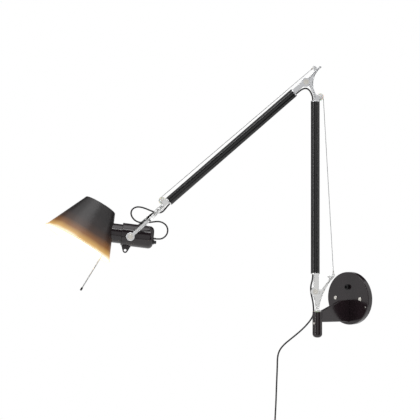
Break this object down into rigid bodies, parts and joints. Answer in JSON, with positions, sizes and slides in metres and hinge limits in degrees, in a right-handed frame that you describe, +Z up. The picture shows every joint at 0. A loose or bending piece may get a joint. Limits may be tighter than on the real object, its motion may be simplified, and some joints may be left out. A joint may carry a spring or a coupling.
{
  "type": "articulating wall lamp",
  "caption": "Wall lamp with two spring-balanced tube arms on a swivelling bracket, a round wall plate and a turning conical shade on a tilting head.",
  "frame": {"origin": "centre of the back face of the round wall plate, on the wall", "axes": "+Z up along the wall, -Y straight out of the wall, +X along the wall to the right as seen from in front"},
  "size_m": [0.5548, 0.6511, 1.0333],
  "materials": {
    "black_gloss_paint": "gloss",
    "black_satin_shade": "satin",
    "black_anodised": "satin",
    "polished_aluminium": "polished",
    "bright_steel": "polished",
    "black_steel": "satin",
    "zinc_steel": "satin",
    "spring_steel": "satin",
    "white_nylon": "satin",
    "brass": "satin",
    "black_cord": "satin",
    "black_plastic": "satin",
    "white_ceramic": "satin",
    "bulb_metal": "satin",
    "bulb_glass": "gloss"
  },
  "bodies": {
    "base": {"wall_plate": "black_gloss_paint", "mounting_plate": "zinc_steel", "plate_screws": "bright_steel", "rim_screws": "bright_steel", "bracket_bolt": "black_steel", "wall_bracket": "black_gloss_paint", "barrel_bushes": "white_nylon", "barrel_set_screw": "bright_steel"},
    "support": {"shoulder_casting": "polished_aluminium", "lower_rope_ferrule": "bright_steel", "mains_cord": "black_cord", "mains_coil": "black_cord", "coil_tie": "black_plastic", "plug_body": "black_plastic", "plug_pins": "brass"},
    "lower_arm": {"lower_arm_fork": "polished_aluminium", "shoulder_bolt": "bright_steel", "shoulder_nut": "bright_steel", "shoulder_washers": "white_nylon", "lower_tube": "black_anodised", "lower_spring": "spring_steel", "lower_rope": "spring_steel", "lower_inner_cord": "black_cord", "shoulder_cord": "black_cord", "elbow_casting": "polished_aluminium", "lower_pulley_pin": "bright_steel", "upper_rope_ferrule": "bright_steel"},
    "lower_anchor": {"lower_rope_anchor": "brass"},
    "lower_wheel": {"lower_pulley": "white_nylon"},
    "upper_arm": {"upper_arm_fork": "polished_aluminium", "elbow_bolt": "bright_steel", "elbow_nut": "bright_steel", "elbow_washers": "white_nylon", "upper_tube": "black_anodised", "upper_spring": "spring_steel", "upper_rope": "spring_steel", "upper_inner_cord": "black_cord", "elbow_cord": "black_cord", "arm_end_fitting": "polished_aluminium", "upper_pulley_pin": "bright_steel"},
    "upper_anchor": {"upper_rope_anchor": "brass"},
    "upper_wheel": {"upper_pulley": "white_nylon"},
    "fork": {"head_fork": "polished_aluminium", "fork_collar": "polished_aluminium", "arm_end_cord": "black_cord"},
    "head": {"rear_housing": "black_gloss_paint", "front_housing": "black_gloss_paint", "pivot_screws": "bright_steel", "cord_gland": "black_plastic", "switch_bezel": "black_plastic", "terminal_block": "white_nylon", "head_cord": "black_cord"},
    "button": {"switch_button": "black_plastic"},
    "shade_turn": {"neck_sleeve": "black_gloss_paint", "shade": "black_satin_shade", "shade_ring": "black_satin_shade", "lampholder": "white_ceramic", "bulb_cap": "bulb_metal", "bulb_glass": "bulb_glass", "handle_rod": "bright_steel"}
  },
  "joints": [
    {"name": "swivel", "type": "hinge", "parent": "base", "child": "support", "pos_m": [0, -0.133, 0.006], "axis": [0, 0, 1], "range_deg": [-44, 130]},
    {"name": "shoulder", "type": "hinge", "parent": "support", "child": "lower_arm", "pos_m": [-0.00361, -0.13674, 0.023], "axis": [0.7193, -0.6947, 0], "range_deg": [-15, 75], "deforming": ["shoulder_cord", "lower_rope", "lower_spring"]},
    {"name": "elbow", "type": "hinge", "parent": "lower_arm", "child": "upper_arm", "pos_m": [-0.0198, -0.1535, 0.5416], "axis": [-0.7193, 0.6947, 0], "range_deg": [-25, 65], "deforming": ["elbow_cord", "upper_rope", "upper_spring"]},
    {"name": "fork_swivel", "type": "hinge", "parent": "upper_arm", "child": "fork", "pos_m": [-0.3223, -0.46675, 0.16305], "axis": [-0.5243, -0.5429, -0.6561], "range_deg": [-90, 90], "deforming": ["arm_end_cord"]},
    {"name": "head_tilt", "type": "hinge", "parent": "fork", "child": "head", "pos_m": [-0.3223, -0.46675, 0.16305], "axis": [-0.772, 0.6281, 0.0972], "range_deg": [-75, 60], "deforming": ["head_cord"]},
    {"name": "shade_roll", "type": "hinge", "parent": "head", "child": "shade_turn", "pos_m": [-0.3223, -0.46675, 0.16305], "axis": [-0.6165, -0.7772, 0.1258], "range_deg": [-170, 170]},
    {"name": "switch_press", "type": "slide", "parent": "head", "child": "button", "axis": [-0.6165, -0.7772, 0.1258], "range_m": [0, 0.002], "stiffness_N_per_m": 800},
    {"name": "lower_pulley_spin", "type": "hinge", "parent": "lower_arm", "child": "lower_wheel", "pos_m": [0.005, -0.12782, 0.505], "axis": [-0.7193, 0.6947, 0], "range_deg": [-120, 570]},
    {"name": "upper_pulley_spin", "type": "hinge", "parent": "upper_arm", "child": "upper_wheel", "pos_m": [-0.26714, -0.40963, 0.24852], "axis": [0.7193, -0.6947, 0], "range_deg": [-110, 275]},
    {"name": "lower_anchor_slide", "type": "slide", "parent": "lower_arm", "child": "lower_anchor", "axis": [0, 0, 1], "range_m": [-0.016, 0.076]},
    {"name": "upper_anchor_slide", "type": "slide", "parent": "upper_arm", "child": "upper_anchor", "axis": [-0.5243, -0.5429, -0.6561], "range_m": [-0.037, 0.015]}
  ],
  "couplings": [
    {"joint": "lower_pulley_spin", "follows": "shoulder", "ratio": 7.5},
    {"joint": "upper_pulley_spin", "follows": "elbow", "ratio": 4.15},
    {"joint": "lower_anchor_slide", "follows": "shoulder", "m_per_rad": 0.057},
    {"joint": "upper_anchor_slide", "follows": "elbow", "m_per_rad": -0.0315}
  ]
}
